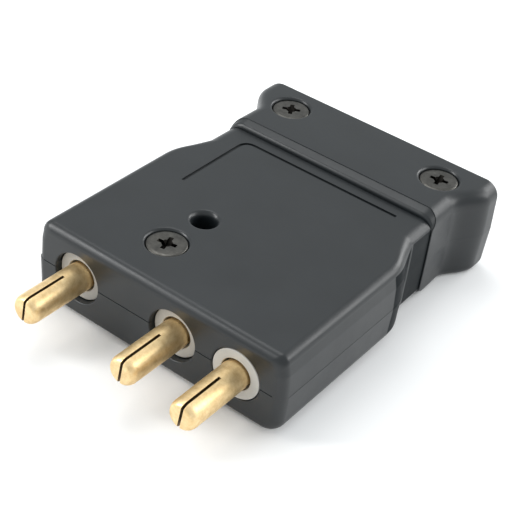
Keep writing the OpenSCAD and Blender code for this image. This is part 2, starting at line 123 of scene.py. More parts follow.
def round_stations(radius):
    """Distances from an end that follow its rounding evenly."""
    return [radius * (1 - math.cos(math.pi / 2 * i / round_steps)) for i in range(round_steps + 1)]


def quarter_round(steps):
    """Sines and cosines of a quarter turn, in even steps."""
    angles = [math.pi / 2 * i / steps for i in range(steps + 1)]
    return [(math.sin(a), math.cos(a)) for a in angles]


def half_outline(half, height, radius, lean, bend_h, foot_r, edge_start=0.0, lean_below=1.0):
    """One side of a half's section, as width and height: a rounded foot, a soft crease and a rounded edge.

    A share of the lean lies below the crease. The edge's rounding starts at an angle, and a start above 0
    leaves a crisp line on the side.
    """
    upright = half - lean
    edge_h = height - radius + radius * math.sin(edge_start)
    bend_h = min(bend_h, edge_h - 2 * crease_soft)
    bend_x = half - lean * lean_below
    below = lean * lean_below / bend_h
    above = (bend_x - upright) / (edge_h - bend_h)
    foot = [(half - foot_r + (foot_r - below * foot_r) * sin, foot_r * (1 - cos))
            for sin, cos in quarter_round(foot_steps)]
    crease = [(bend_x + below * crease_soft, bend_h - crease_soft),
              (bend_x - above * crease_soft, bend_h + crease_soft)]
    edge = []
    for i in range(round_steps + 1):
        a = edge_start + (math.pi / 2 - edge_start) * i / round_steps
        x = upright + radius * (math.cos(a) - math.cos(edge_start))
        edge.append((x, height - radius + radius * math.sin(a)))
    return foot + crease + edge


def section(y, left, right, up):
    """Ring of points across the plug at y, from the right foot over the top to the left foot."""
    across = right + [(-x, h) for x, h in reversed(left)]
    return [Vector((x, y, split_z + up * h)) for x, h in across]


def loft(name, rings):
    """Fills the first ring and extrudes it from ring to ring."""
    bpy.ops.object.select_all(action="DESELECT")
    bpy.ops.mesh.primitive_circle_add(vertices=len(rings[0]), fill_type="NGON")
    piece = bpy.context.active_object
    piece.name = name
    bpy.ops.object.mode_set(mode="EDIT")
    for step, ring in enumerate(rings):
        if step:
            bpy.ops.mesh.extrude_region_move()
        mesh = bmesh.from_edit_mesh(piece.data)
        cap = next(face for face in mesh.faces if face.select)
        for vert, point in zip(cap.verts, ring):
            vert.co = point
        bmesh.update_edit_mesh(piece.data)
    bpy.ops.mesh.select_all(action="SELECT")
    bpy.ops.mesh.normals_make_consistent(inside=False)
    bpy.ops.object.mode_set(mode="OBJECT")
    return piece


def block(name, low, high):
    """Straight-sided block between two corners."""
    corners = [(low[0], low[2]), (high[0], low[2]), (high[0], high[2]), (low[0], high[2])]
    return loft(name, [[Vector((x, y, z)) for x, z in corners] for y in (low[1], high[1])])


def turned(name, outline, centre, along):
    """Spins an outline of radius and distance about an axis through centre."""
    bpy.ops.object.select_all(action="DESELECT")
    bpy.ops.mesh.primitive_circle_add(vertices=len(outline), fill_type="NOTHING")
    piece = bpy.context.active_object
    piece.name = name
    bpy.ops.object.mode_set(mode="EDIT")
    mesh = bmesh.from_edit_mesh(piece.data)
    for vert, (radius, distance) in zip(mesh.verts, outline):
        vert.co = centre + Vector((radius, 0, 0)) + distance * along
    bmesh.update_edit_mesh(piece.data)
    bpy.ops.mesh.spin(steps=turn_steps, angle=2 * math.pi, center=centre, axis=along)
    bpy.ops.mesh.select_all(action="SELECT")
    bpy.ops.mesh.remove_doubles(threshold=merge_distance)
    bpy.ops.mesh.dissolve_degenerate(threshold=merge_distance)
    bpy.ops.mesh.select_all(action="SELECT")
    bpy.ops.mesh.normals_make_consistent(inside=False)
    bpy.ops.object.mode_set(mode="OBJECT")
    return piece


def make_active(piece):
    """Selects a piece alone, for the operators."""
    bpy.ops.object.select_all(action="DESELECT")
    piece.select_set(True)
    bpy.context.view_layer.objects.active = piece


def combine(piece, others, operation):
    """Cuts the other solids out of a piece, or joins them to it."""
    make_active(piece)
    for other in others:
        modifier = piece.modifiers.new(operation.lower(), "BOOLEAN")
        modifier.operation = operation
        modifier.object = other
        modifier.solver = "EXACT"
        modifier.material_mode = "TRANSFER"
        bpy.ops.object.modifier_apply(modifier=modifier.name)
        bpy.data.objects.remove(other)


def lip(radius, width, depth, top):
    """Outline of a hole's rounded lip, from the wall up to the face at top."""
    return [(radius + width * (1 - cos), top - depth * (1 - sin)) for sin, cos in quarter_round(lip_steps)]


def paint(piece, material):
    """Makes a material the only one of a piece."""
    piece.data.materials.clear()
    piece.data.materials.append(material)
    return piece


def stand_for(piece, node):
    """Gives a finished piece its shading and puts it in its node's place."""
    make_active(piece)
    bpy.ops.object.shade_smooth_by_angle(angle=smooth_limit)
    modifier = piece.modifiers.new("flat_faces_first", "WEIGHTED_NORMAL")
    modifier.keep_sharp = True
    bpy.ops.object.modifier_apply(modifier=modifier.name)
    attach(piece, "root")
    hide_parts(node)


def waist_depth(y):
    """How far the sides have drawn in at y.

    Their slope grows behind the shoulder and turns back quickly, and the neck after it is nearly straight.
    """
    run_l = waist_l - waist_turn_l
    run = min(max(y - shoulder_y, 0.0), run_l)
    rise = min(run, waist_rise_l)
    back = min(max(y - shoulder_y - run_l, 0.0), waist_turn_l)
    neck = max(y - shoulder_y - waist_l, 0.0)
    grown = rise / 2 - waist_rise_l / (2 * math.pi) * math.sin(math.pi * rise / waist_rise_l) + run - rise
    depth = waist_start_slope * run + (waist_end_slope - waist_start_slope) * grown
    depth += waist_end_slope * back - (waist_end_slope - neck_slope) * back ** 2 / (2 * waist_turn_l)
    return depth + neck_slope * neck


def necked(y, at_body, at_neck):
    """A size that changes smoothly from the body to the neck."""
    return at_body + (at_neck - at_body) * ease((y - shoulder_y) / waist_l)


def upper_lean(y, ledge):
    """How far a side of the upper half leans in from its foot, which is a ledge behind the lower half."""
    return necked(y, upper_inset - ledge, neck_lean)


def upper_half_w(y, ledge):
    """Half width of the upper half's foot."""
    return body_half - upper_inset - waist_depth(y) + upper_lean(y, ledge)


waist_ys = [shoulder_y + (waist_l - waist_turn_l) * i / curve_steps for i in range(curve_steps)]
waist_ys += [seam_y - neck_l - waist_turn_l * (1 - i / waist_turn_steps)
             for i in range(waist_turn_steps + 1)]


def housing_stations(front_r):
    """Distances behind the front: round its edge, through the waist and at the seam."""
    return round_stations(front_r) + [y - front_y for y in waist_ys + [seam_y]]


def upper_skin():
    """Outside of the upper half."""
    rings = []
    for d in housing_stations(max(*upper_corner_rs, upper_edge_r)):
        y = front_y + d
        height = upper_h - drawn_in(upper_edge_r, d)
        edge_r = necked(y, upper_edge_r, neck_edge_r)
        edge_start = necked(y, 0.0, neck_edge_start)
        sides = []
        for corner_r, ledge in zip(upper_corner_rs, ledges):
            half = upper_half_w(y, ledge) - drawn_in(corner_r, d)
            lean = upper_lean(y, ledge)
            sides.append(half_outline(half, height, edge_r, lean, crease_h, housing_foot_r,
                                      edge_start, lean_below_crease))
        rings.append(section(y, *sides, up=1))
    return loft("upper_shell", rings)


def lower_skin():
    """Outside of the lower half."""
    rings = []
    for d in housing_stations(max(*lower_corner_rs, lower_front_r)):
        y = front_y + d
        height = lower_h - drawn_in(lower_front_r, d)
        edge_r = necked(y, lower_edge_r, lower_neck_edge_r)
        lean = necked(y, lower_lean, neck_lean)
        sides = []
        for corner_r, ledge in zip(lower_corner_rs, ledges):
            half = upper_half_w(y, ledge) + necked(y, ledge, 0.0) - drawn_in(corner_r, d)
            sides.append(half_outline(half, height, edge_r, lean, lower_h, housing_foot_r))
        rings.append(section(y, *sides, up=-1))
    return loft("lower_shell", rings)


def wiring_space(up, height):
    """The hollow behind the front block, which follows the sides."""
    ys = [front_y + block_l] + waist_ys + [seam_y - wall]
    right = [(upper_half_w(y, 0.0) - side_wall, y) for y in ys]
    outline = right + [(-x, y) for x, y in reversed(right)]
    levels = [split_z + up * h for h in (-over, height - wall)]
    return loft("wiring_space", [[Vector((x, y, z)) for x, y in outline] for z in levels])


def tongue(up):
    """The tongue and the rib at its end, and the way through it."""
    rear = seam_y - wall
    way_half = tongue_half - side_wall
    rib_half = tongue_half + rib_h
    rib_y = tongue_end_y - rib_l
    top, rib_top, way_top = (split_z + up * h for h in (tongue_h, tongue_h + rib_h, tongue_h - wall))
    made = [block("tongue", (-tongue_half, rear, split_z), (tongue_half, tongue_end_y, top)),
            block("tongue_rib", (-rib_half, rib_y, split_z), (rib_half, tongue_end_y, rib_top))]
    way_low = (-way_half, rear - over, split_z - up * over)
    way_high = (way_half, tongue_end_y + over, way_top)
    return made, block("tongue_way", way_low, way_high)


# Contact places and the stepped bores that hold the bushes and the contacts
contacts = {name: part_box(name + "_pin") for name in ("hot", "ground", "neutral")}
forward = Vector((0, -1, 0))
pin_reach = 24.2 * mm
bush_r = 8.4 * mm
bush_l = 5 * mm
bush_flange_r = 9.8 * mm
bush_flange_l = 2.5 * mm
contact_flange_r = 8.5 * mm
contact_flange_l = 2.5 * mm
barrel_r = 7 * mm
barrel_l = 28 * mm
bush_fit = 0.2 * mm
barrel_fit = 0.3 * mm
axial_fit = 0.1 * mm
bore_lip = 0.6 * mm


def bush_face(name):
    """Centre of a contact's bush face."""
    low, high = contacts[name]
    return Vector(((low.x + high.x) / 2, low.y + pin_reach, split_z))


def contact_bore(name):
    """Bore for a contact and its bush, from the wiring space to the front."""
    face = bush_face(name)
    recess = face.y - front_y
    start = recess - block_l - over
    step = -bush_l - bush_flange_l - contact_flange_l - axial_fit
    barrel_hole_r = barrel_r + barrel_fit
    flange_hole_r = bush_flange_r + bush_fit
    bush_hole_r = bush_r + bush_fit
    outline = [(0, start), (barrel_hole_r, start), (barrel_hole_r, step), (flange_hole_r, step),
               (flange_hole_r, axial_fit - bush_l), (bush_hole_r, axial_fit - bush_l)]
    outline += lip(bush_hole_r, bore_lip, bore_lip, recess)
    outline += [(bush_hole_r + bore_lip, recess + over), (0, recess + over)]
    return turned("contact_bore", outline, face, forward)


# Places of the screws and of the round hole behind the housing screw
screws = {name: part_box(name) for name in ("body_screw", "left_clamp_screw", "right_clamp_screw")}
upward = Vector((0, 0, 1))
downward = Vector((0, 0, -1))
screw_r = 3 * mm
head_r = 6.5 * mm
head_h = 3.4 * mm
head_sink = 1 * mm
head_raises = {
    "body_screw": 0.6 * mm,
    "left_clamp_screw": 0.35 * mm,
    "right_clamp_screw": 0.35 * mm,
}
head_fit = 0.2 * mm
head_hole_lip = 1.1 * mm
shank_fit = 0.3 * mm
insert_r = 4.8 * mm
insert_l = 9.05 * mm
hole_r = 3.9 * mm
hole_lip = 1.7 * mm
hole_lip_l = 2.6 * mm
hole_back = 36.1 * mm
hole_aside = 0.6 * mm
sleeve_r = 6.4 * mm


def screw_place(name, z):
    """Point on a screw's axis at height z."""
    low, high = screws[name]
    return Vector(((low.x + high.x) / 2, (low.y + high.y) / 2, z))


def screw_hole(name, height):
    """Hole for a screw with a sunk head, down from a face at height over the parting plane."""
    seat = height - head_sink + head_raises[name] - head_h
    shank_hole_r = screw_r + shank_fit
    head_hole_r = head_r + head_fit
    outline = [(0, -over), (shank_hole_r, -over), (shank_hole_r, seat), (head_hole_r, seat)]
    outline += lip(head_hole_r, head_hole_lip, head_hole_lip, height)
    outline += [(head_hole_r + head_hole_lip, height + over), (0, height + over)]
    return turned("screw_hole", outline, screw_place(name, split_z), upward)


def insert_hole(name):
    """Blind hole for a threaded insert, down from the parting plane."""
    outline = [(0, -over), (insert_r, -over), (insert_r, insert_l), (0, insert_l)]
    return turned("insert_hole", outline, screw_place(name, split_z), downward)


hole_place = Vector((screw_place("body_screw", split_z).x + hole_aside, front_y + hole_back, split_z))


def round_hole(up, height):
    """One half's part of the round hole, with its wide rounded lip."""
    outline = [(0, -over), (hole_r, -over)] + lip(hole_r, hole_lip, hole_lip_l, height)
    outline += [(hole_r + hole_lip, height + over), (0, height + over)]
    return turned("round_hole", outline, hole_place, Vector((0, 0, up)))


def sleeve(up, height):
    """Sleeve of the round hole inside the wiring space."""
    top = height - wall / 2
    outline = [(0, 0), (sleeve_r, 0), (sleeve_r, top), (0, top)]
    return turned("sleeve", outline, hole_place, Vector((0, 0, up)))


# Groove on the top face: a long leg on the hot side, a round corner and a cross leg
line_x = 30.5 * mm
line_w = 1.2 * mm
line_depth = 0.6 * mm
line_start_y = front_y + 48 * mm
line_y = seam_y - 5 * mm
line_r = 3.5 * mm


def line_edge(offset):
    """The groove's centre line moved sideways, from its start to its end."""
    radius = line_r - offset
    angles = [math.pi / 2 * (i / round_steps - 1) for i in range(round_steps + 1)]
    corner_x, corner_y = line_r - line_x, line_y - line_r
    corner = [(corner_x + radius * math.sin(a), corner_y + radius * math.cos(a)) for a in angles]
    return [(offset - line_x, line_start_y)] + corner + [(line_x, line_y - offset)]


def top_line():
    """Cutter for the groove on the top face."""
    outline = line_edge(-line_w / 2) + list(reversed(line_edge(line_w / 2)))
    levels = (upper_high.z - line_depth, upper_high.z + over)
    return loft("top_line", [[Vector((x, y, z)) for x, y in outline] for z in levels])


# The V groove that runs along the parting plane on the front face and on the clamp's rear
split_groove_h = 0.15 * mm
split_groove_d = 0.8 * mm
groove_stop = 0.3 * mm


def end_groove(y, left, right):
    """Cutter for the V groove on an end face at y, between two places across."""
    corners = [(y - split_groove_d, split_z), (y, split_z + split_groove_h),
               (y + split_groove_d, split_z), (y, split_z - split_groove_h)]
    return loft("end_groove", [[Vector((x, cy, cz)) for cy, cz in corners] for x in (left, right)])


# Moulded plastic: fine grain from a spark-eroded mould, a faint cloudiness in its colour, and a gloss that
# varies a little where it has been handled
plastic_dark = (0.0065, 0.0088, 0.0102)
plastic_light = (0.0092, 0.012, 0.0138)
plastic_rough = (0.31, 0.41)
noise_range = (0.3, 0.7)


def node_group(name, inputs, outputs):
    """A new shader node group with float inputs and outputs, and its input and output nodes."""
    group = bpy.data.node_groups.new(name, "ShaderNodeTree")
    for label, value in inputs.items():
        socket = group.interface.new_socket(label, in_out="INPUT", socket_type="NodeSocketFloat")
        socket.default_value = value
    for label in outputs:
        group.interface.new_socket(label, in_out="OUTPUT", socket_type="NodeSocketFloat")
    return group, group.nodes.new("NodeGroupInput"), group.nodes.new("NodeGroupOutput")


def add_node(tree, kind, **settings):
    """A node of that kind, with its sockets and properties set by name."""
    node = tree.nodes.new(kind)
    for label, value in settings.items():
        if label in node.inputs:
            node.inputs[label].default_value = value
        else:
            setattr(node, label, value)
    return node


def make_grain_group():
    """Fine mould grain as a height, and two slow cloudy values for colour and gloss."""
    group, given, result = node_group(
        "mould_grain", {"Grain per metre": 2600.0, "Clouds per metre": 60.0}, ["Height", "Tone", "Gloss"])
    coords = add_node(group, "ShaderNodeTexCoord")
    grain = add_node(group, "ShaderNodeTexNoise", Detail=2.0, Roughness=0.6)
    tone = add_node(group, "ShaderNodeTexNoise", Detail=4.0, Roughness=0.6)
    gloss = add_node(group, "ShaderNodeTexNoise", noise_dimensions="4D", W=3.0, Detail=5.0, Roughness=0.7)
    uses = ((grain, "Grain per metre", "Height"), (tone, "Clouds per metre", "Tone"),
            (gloss, "Clouds per metre", "Gloss"))
    for noise, scale, label in uses:
        group.links.new(coords.outputs["Object"], noise.inputs["Vector"])
        group.links.new(given.outputs[scale], noise.inputs["Scale"])
        group.links.new(noise.outputs["Fac"], result.inputs[label])
    return group


def new_material(name, colour, rough, metal=0.0):
    """A material whose Principled shader has that plain finish, ready for its detail."""
    material = bpy.data.materials.new(name)
    material.use_nodes = True
    shader = material.node_tree.nodes["Principled BSDF"]
    shader.inputs["Base Color"].default_value = (*colour, 1.0)
    shader.inputs["Roughness"].default_value = rough
    shader.inputs["Metallic"].default_value = metal
    return material, material.node_tree, shader


def remap(tree, source, given, wanted, kind="LINEAR"):
    """A value mapped from one range to another, along a straight line or a smooth step."""
    node = add_node(tree, "ShaderNodeMapRange", interpolation_type=kind)
    for label, limit in zip(("From Min", "From Max", "To Min", "To Max"), (*given, *wanted)):
        node.inputs[label].default_value = limit
    tree.links.new(source, node.inputs["Value"])
    return node.outputs["Result"]


def vary_colour(tree, source, shader, dark, light):
    """Drives a shader's colour from a noise."""
    ramp = add_node(tree, "ShaderNodeValToRGB")
    for element, position, colour in zip(ramp.color_ramp.elements, noise_range, (dark, light)):
        element.position = position
        element.color = (*colour, 1.0)
    tree.links.new(source, ramp.inputs["Fac"])
    tree.links.new(ramp.outputs["Color"], shader.inputs["Base Color"])


def vary_gloss(tree, source, shader, rough):
    """Drives a shader's roughness from a noise."""
    tree.links.new(remap(tree, source, noise_range, rough), shader.inputs["Roughness"])


def emboss(tree, height, shader, depth, strength):
    """Sends a height through a Bump node of that depth into the shader's normal."""
    bump = add_node(tree, "ShaderNodeBump", Distance=depth, Strength=strength)
    tree.links.new(height, bump.inputs["Height"])
    tree.links.new(bump.outputs["Normal"], shader.inputs["Normal"])


grain_group = make_grain_group()


def make_plastic(name, dark, light, rough):
    """Moulded plastic between two tones and two roughnesses, with the mould's grain."""
    material, tree, shader = new_material(name, light, max(rough))
    grain = add_node(tree, "ShaderNodeGroup", node_tree=grain_group)
    vary_colour(tree, grain.outputs["Tone"], shader, dark, light)
    vary_gloss(tree, grain.outputs["Gloss"], shader, rough)
    emboss(tree, grain.outputs["Height"], shader, depth=0.03 * mm, strength=0.2)
    return material


# Painted shade on the sides of waist and neck, where a cut specular level makes them look dark as if shaded,
# with a bright line at the turn between them left at full gloss
gloss_level = 0.5
painted_shade_level = 0.02
neck_painted_shade = 0.95
painted_shade_lead = 0.8 * mm
bright_line = 1.2 * mm
painted_shade_soft = 0.7 * mm
edge_soft = 0.2 * mm


def paint_waist_shade(material):
    """Paints shade on the sides of waist and neck by lowering the specular level, from the bottom to the
    rounded edge.
    """
    tree = material.node_tree
    coords = add_node(tree, "ShaderNodeTexCoord")
    axes = add_node(tree, "ShaderNodeSeparateXYZ")
    tree.links.new(coords.outputs["Object"], axes.inputs["Vector"])
    turn_y = shoulder_y + waist_l
    edge_z = split_z + upper_h - neck_edge_r * (1 - math.sin(neck_edge_start))

    def step(axis, start, soft, levels):
        """A soft step along an axis, between two levels."""
        return remap(tree, axes.outputs[axis], (start, start + soft), levels, "SMOOTHSTEP")

    def result(operation, first, second):
        """The product or sum of two values."""
        node = add_node(tree, "ShaderNodeMath", operation=operation)
        tree.links.new(first, node.inputs[0])
        tree.links.new(second, node.inputs[1])
        return node.outputs["Value"]

    waist_start = step("Y", shoulder_y - painted_shade_lead, painted_shade_soft, (0.0, 1.0))
    waist_stop = step("Y", turn_y - bright_line - painted_shade_soft, painted_shade_soft, (1.0, 0.0))
    neck_start = step("Y", turn_y - painted_shade_soft / 2, painted_shade_soft, (0.0, neck_painted_shade))
    under_edge = step("Z", edge_z - edge_soft / 2, edge_soft, (1.0, 0.0))
    over_bottom = step("Z", lower_low.z + edge_soft, lower_neck_edge_r, (0.0, 1.0))
    sides = result("ADD", result("MULTIPLY", waist_start, waist_stop), neck_start)
    shade_mask = result("MULTIPLY", result("MULTIPLY", sides, under_edge), over_bottom)
    # painted shade: this mask takes the specular level down to near nothing on the waist and neck
    level = remap(tree, shade_mask, (0.0, 1.0), (gloss_level, painted_shade_level))
    tree.links.new(level, tree.nodes["Principled BSDF"].inputs["Specular IOR Level"])
    return material


# the housing plastic carries painted shade on the sides of its waist and neck
housing_plastic = paint_waist_shade(make_plastic("housing_plastic", plastic_dark, plastic_light, plastic_rough))


def finish_housing(shell, up, height, node, cutters):
    """Hollows a half's skin, adds its tongue and sleeve, and cuts its holes and grooves."""
    combine(shell, [wiring_space(up, height)], "DIFFERENCE")
    made, way = tongue(up)
    combine(shell, made + [sleeve(up, height)], "UNION")
    left_r, right_r = (max(pair) for pair in zip(upper_corner_rs, lower_corner_rs))
    groove = end_groove(front_y, left_r + groove_stop - body_half, body_half - right_r - groove_stop)
    bores = [contact_bore(name) for name in contacts]
    combine(shell, cutters + [way, round_hole(up, height), groove] + bores, "DIFFERENCE")
    stand_for(paint(shell, housing_plastic), node)


upper_cutters = [screw_hole("body_screw", upper_h), top_line()]
finish_housing(upper_skin(), 1, upper_h, "upper_housing", upper_cutters)
finish_housing(lower_skin(), -1, lower_h, "lower_housing", [insert_hole("body_screw")])


# Cord clamp halves
# Two jaws of the same plastic, screwed together round the cord and over the housing's tongue. A gently
# sloping band with a small step runs along their front edge, and their flanks are dished for the fingers.
clamp_y = clamp_low.y
clamp_l = clamp_high.y - clamp_low.y
clamp_half = clamp_high.x
clamp_front_half = 41.8 * mm
clamp_upper_h = clamp_high.z - split_z
clamp_lower_h = split_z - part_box("lower_cord_clamp")[0].z
band_l = 3.6 * mm
band_fall = 0.9 * mm
band_step = 0.3 * mm
band_step_l = 0.1 * mm
band_side_share = 0.06
band_turn_power = 0.7
front_round = 1.1 * mm
side_round = 0.15 * mm
seam_in = 0.25 * mm
seam_in_l = 6 * mm
front_lean = 0.05 * mm
grip_start = 12.7 * mm
grip_l = 14.2 * mm
clamp_corner_r = 1.5 * mm
clamp_foot_r = 0.05 * mm
cord_r = 10 * mm
cord_mouth_r = 1.5 * mm
grip_grooves = 3
grip_groove_h = 1 * mm
grip_groove_w = 3 * mm
tongue_fit = 0.2 * mm
backward = Vector((0, 1, 0))
plastic = make_plastic("black_plastic", plastic_dark, plastic_light, plastic_rough)


def band_drop(d):
    """How far the front band lies under the top at distance d from the seam: a slope up to a small step."""
    step = min(max((band_l - d) / band_step_l, 0.0), 1.0)
    return band_fall * max(0.0, 1 - d / band_l) + band_step * step


def clamp_half_w(d):
    """Half width at distance d from the seam: flush with the neck, then dished, and rounded at both ends."""
    return (clamp_front_half + (clamp_half - clamp_front_half) * ease((d - grip_start) / grip_l)
            - seam_in * (1 - ease(d / seam_in_l)) - drawn_in(side_round, d)
            - drawn_in(clamp_corner_r, clamp_l - d))


def band_corner(d, turn):
    """Draws the front band together towards the seam as it turns down the flank."""
    share = band_side_share + (1 - band_side_share) * math.sin(turn) ** band_turn_power
    if d < band_l:
        return d * share
    if d < grip_start:
        return band_l * share + (d - band_l) * (grip_start - band_l * share) / (grip_start - band_l)
    return d


def clamp_skin(name, up, height, edge_r, rear_r, lean):
    """Outside of a jaw, from the seam to the rear."""
    grip = [grip_start + grip_l * i / curve_steps for i in range(curve_steps + 1)]
    rear = [clamp_l - d for d in reversed(round_stations(max(clamp_corner_r, rear_r)))]
    rings = []
    for d in round_stations(front_round) + [band_l - band_step_l, band_l, seam_in_l] + grip + rear:
        top = height - band_drop(d) - drawn_in(front_round, d) - drawn_in(rear_r, clamp_l - d)
        leaning = front_lean + (lean - front_lean) * ease(d / grip_start)
        side = half_outline(clamp_half_w(d), top, edge_r, leaning, height, clamp_foot_r)
        ring = section(clamp_y, side, side, up)
        last = len(side) - 1
        turns = [math.pi / 2 * max(0.0, 1 - (last - i) / round_steps) for i in range(len(side))]
        for point, turn in zip(ring, turns + turns[::-1]):
            point.y += band_corner(d, turn)
        rings.append(ring)
    return loft(name, rings)


def cord_entry(start_y):
    """Cutter for the cord's way out, with grip grooves inside and a rounded mouth."""
    end = clamp_high.y - start_y
    groove_r = cord_r + grip_groove_h
    outline = [(0, -over), (cord_r, -over)]
    for i in range(grip_grooves):
        start = (2 * i + 1) * grip_groove_w
        stop = start + grip_groove_w
        outline += [(cord_r, start), (groove_r, start), (groove_r, stop), (cord_r, stop)]
    outline += lip(cord_r, cord_mouth_r, cord_mouth_r, end)
    outline += [(cord_r + cord_mouth_r, end + over), (0, end + over)]
    return turned("cord_entry", outline, Vector((0, start_y, split_z)), backward)


def clamp_cutters(up):
    """The tongue's space, the cord entry, and the groove along the parting plane."""
    inner = tongue_half + tongue_fit
    rear = tongue_end_y + tongue_fit
    rib_y = tongue_end_y - rib_l - tongue_fit
    low = split_z - up * over
    top, rib_top = (split_z + up * (h + tongue_fit) for h in (tongue_h, tongue_h + rib_h))
    outer = clamp_half - clamp_corner_r - clamp_foot_r - groove_stop
    mouth = cord_r + cord_mouth_r + groove_stop
    return [block("tongue_space", (-inner, clamp_y - over, low), (inner, rear, top)),
            block("rib_space", (-inner - rib_h, rib_y, low), (inner + rib_h, rear, rib_top)),
            cord_entry(rear),
            end_groove(clamp_high.y, -outer, -mouth),
            end_groove(clamp_high.y, mouth, outer)]


jaw_screws = ("left_clamp_screw", "right_clamp_screw")
upper_jaw = clamp_skin("upper_jaw", 1, clamp_upper_h, edge_r=5.2 * mm, rear_r=1 * mm, lean=0.3 * mm)
screw_holes = [screw_hole(name, clamp_upper_h) for name in jaw_screws]
combine(upper_jaw, clamp_cutters(1) + screw_holes, "DIFFERENCE")
stand_for(paint(upper_jaw, plastic), "upper_cord_clamp")
lower_jaw = clamp_skin("lower_jaw", -1, clamp_lower_h, edge_r=2.8 * mm, rear_r=3 * mm, lean=0.6 * mm)
insert_holes = [insert_hole(name) for name in jaw_screws]
combine(lower_jaw, clamp_cutters(-1) + insert_holes, "DIFFERENCE")
stand_for(paint(lower_jaw, plastic), "lower_cord_clamp")


# Contact pins
# Each contact is turned from one brass bar: a rounded pin split by a saw cut so that it springs, a flange
# that seats behind the bush, and a barrel with a wire hole. Fine turning lines run round it.
pin_r = 4.7625 * mm
undercut = 0.2 * mm
undercut_l = 0.4 * mm
tip_l = 2.4 * mm
tip_r = 3.4 * mm
slot_w = 0.9 * mm
slot_l = 16 * mm
slot_turn = math.radians(7)
wire_hole_r = 4.25 * mm
wire_hole_l = 16 * mm
set_screw_r = 2.75 * mm
pin_edge = 0.12 * mm
break_limit = math.radians(30)
square = ((-1, -1), (1, -1), (1, 1), (-1, 1))


def make_turning_group():
    """A stain, and fine lines across Y as a lathe leaves them."""
    group, given, result = node_group("turned_surface", {"Lines per metre": 900.0}, ["Stain", "Lines"])
    coords = add_node(group, "ShaderNodeTexCoord")
    stain = add_node(group, "ShaderNodeTexNoise", Scale=480.0, Detail=5.0, Roughness=0.7)
    lines = add_node(group, "ShaderNodeTexWave", bands_direction="Y", Distortion=2.0, Detail=3.0)
    group.links.new(given.outputs["Lines per metre"], lines.inputs["Scale"])
    for texture, label in ((stain, "Stain"), (lines, "Lines")):
        group.links.new(coords.outputs["Object"], texture.inputs["Vector"])
        group.links.new(texture.outputs["Fac"], result.inputs[label])
    return group


turning_group = make_turning_group()


def make_turned_metal(name, dark, light, rough, lines_per_metre):
    """Metal between two tones and two roughnesses, with turning lines."""
    material, tree, shader = new_material(name, light, max(rough), metal=1.0)
    turning = add_node(tree, "ShaderNodeGroup", node_tree=turning_group)
    turning.inputs["Lines per metre"].default_value = lines_per_metre
    vary_colour(tree, turning.outputs["Stain"], shader, dark, light)
    vary_gloss(tree, turning.outputs["Lines"], shader, rough)
    emboss(tree, turning.outputs["Lines"], shader, depth=0.01 * mm, strength=0.3)
    return material


brass = make_turned_metal(
    "turned_brass", dark=(0.71, 0.5, 0.24), light=(0.96, 0.75, 0.43), rough=(0.4, 0.52),
    lines_per_metre=900.0)
# painted shade: a near-black brass for the walls of each pin's slot, darker than the pin as shade in the
# narrow cut
slot_painted_shade = make_turned_metal(
    "painted_shade_slot", dark=(0.2, 0.13, 0.06), light=(0.32, 0.21, 0.1), rough=(0.45, 0.55),
    lines_per_metre=900.0)


def bevel_sharp(piece, width, segments=2):
    """Breaks every sharp edge of a piece with a small round."""
    modifier = piece.modifiers.new("edge_break", "BEVEL")
    modifier.width = width
    modifier.segments = segments
    modifier.limit_method = "ANGLE"
    modifier.angle_limit = break_limit
    make_active(piece)
    bpy.ops.object.modifier_apply(modifier=modifier.name)


def saw_cut(face):
    """Cutter for the slot that splits a pin, turned a little about the pin's axis; it gives the slot's walls
    painted shade.
    """
    up = Vector((math.sin(slot_turn), 0, math.cos(slot_turn)))
    across = Vector((math.cos(slot_turn), 0, -math.sin(slot_turn)))
    corners = [a * slot_w / 2 * across + b * 2 * pin_r * up for a, b in square]
    ends = [face + d * forward for d in (pin_reach - slot_l, pin_reach + over)]
    return paint(loft("slot", [[end + corner for corner in corners] for end in ends]), slot_painted_shade)


def set_hole(x, y):
    """Cutter for a set screw's hole, up from the middle of a barrel."""
    outline = [(0, 0), (set_screw_r, 0), (set_screw_r, 2 * barrel_r), (0, 2 * barrel_r)]
    return paint(turned("set_hole", outline, Vector((x, y, split_z)), upward), brass)


def contact_pin(name):
    """A contact with its slot and its set screws' holes."""
    face = bush_face(name)
    flange = -bush_l - bush_flange_l
    barrel = flange - contact_flange_l
    end = barrel - barrel_l
    wire_end = end + wire_hole_l
    root_r = pin_r - undercut
    outline = [(0, wire_end), (wire_hole_r, wire_end), (wire_hole_r, end), (barrel_r, end),
               (barrel_r, barrel), (contact_flange_r, barrel), (contact_flange_r, flange),
               (root_r, flange), (root_r, undercut_l), (pin_r, undercut_l)]
    outline += [(tip_r + (pin_r - tip_r) * cos, pin_reach - tip_l + tip_l * sin)
                for sin, cos in quarter_round(round_steps)]
    outline.append((0, pin_reach))
    piece = paint(turned(name + "_contact", outline, face, forward), brass)
    set_low, set_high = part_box(name + "_wire_screws")
    set_ys = (set_low.y + set_screw_r, set_high.y - set_screw_r)
    combine(piece, [saw_cut(face)] + [set_hole(face.x, y) for y in set_ys], "DIFFERENCE")
    bevel_sharp(piece, pin_edge)
    stand_for(piece, name + "_pin")


for contact in contacts:
    contact_pin(contact)


# Bushes
# Light grey moulded collars that close the housing round the pins. Their flanges are caught in the bores,
# and the edges of their faces are slightly rounded.
pin_gap = 0.5 * mm
bush_inner_r = pin_r + pin_gap
bush_round = 0.3 * mm
bush_round_steps = 5
bush_grey = make_plastic(
    "grey_bush_plastic", dark=(0.4, 0.39, 0.365), light=(0.48, 0.47, 0.44), rough=(0.4, 0.5))


